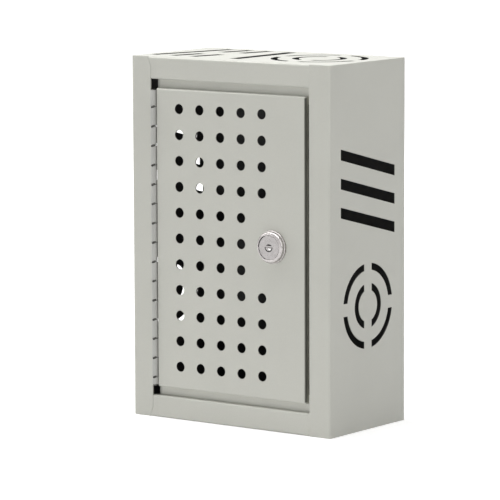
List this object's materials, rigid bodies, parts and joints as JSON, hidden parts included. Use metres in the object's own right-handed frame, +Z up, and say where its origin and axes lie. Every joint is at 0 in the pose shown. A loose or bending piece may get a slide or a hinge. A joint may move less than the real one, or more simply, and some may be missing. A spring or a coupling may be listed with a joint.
{
  "type": "phone locker box",
  "caption": "Wall-hung sheet steel locker box for phones, with a perforated pan door on a continuous hinge, a quarter-turn cam lock and vent slots in its sides and top.",
  "frame": {"origin": "centre of the body's underside, without the hinge barrel and lock that stand proud of the front", "axes": "+Z up along the height, the door faces -Y, the hinge is at -X and the lock at +X"},
  "size_m": [0.24, 0.1365, 0.36],
  "materials": {
    "body_paint": "light warm grey powder coat with a fine orange-peel texture",
    "door_paint": "light warm grey powder coat with a fine orange-peel texture",
    "hinge_paint": "light warm grey powder coat over the hinge, thinner at its knuckles",
    "nickel": "satin nickel plate",
    "zinc_plate": "bright zinc plate",
    "pin_steel": "drawn steel with peened ends",
    "brass": "stamped brass"
  },
  "bodies": {
    "cabinet": {"left_side": "body_paint", "right_side": "body_paint", "back_panel": "body_paint", "top_panel": "body_paint", "bottom_panel": "body_paint", "door_stop_top": "body_paint", "door_stop_bottom": "body_paint", "lock_keeper": "body_paint", "hinge_frame_leaf": "hinge_paint", "hinge_pin": "pin_steel"},
    "door": {"door_panel": "door_paint", "hinge_door_leaf": "hinge_paint", "lock_collar": "nickel", "lock_housing": "nickel", "lock_washer": "zinc_plate", "lock_nut": "zinc_plate"},
    "lock": {"lock_plug": "nickel", "lock_wafers": "brass", "stop_washer": "zinc_plate", "lock_cam": "zinc_plate", "cam_washer": "zinc_plate", "cam_screw": "zinc_plate"}
  },
  "joints": [
    {"name": "door_hinge", "type": "hinge", "parent": "cabinet", "child": "door", "pos_m": [-0.0928, -0.0653, 0.18], "axis": [0, 0, -1], "range_deg": [0, 170]},
    {"name": "lock_turn", "type": "hinge", "parent": "door", "child": "lock", "pos_m": [0.052, -0.065, 0.18135], "axis": [0, -1, 0], "range_deg": [0, 90]}
  ]
}
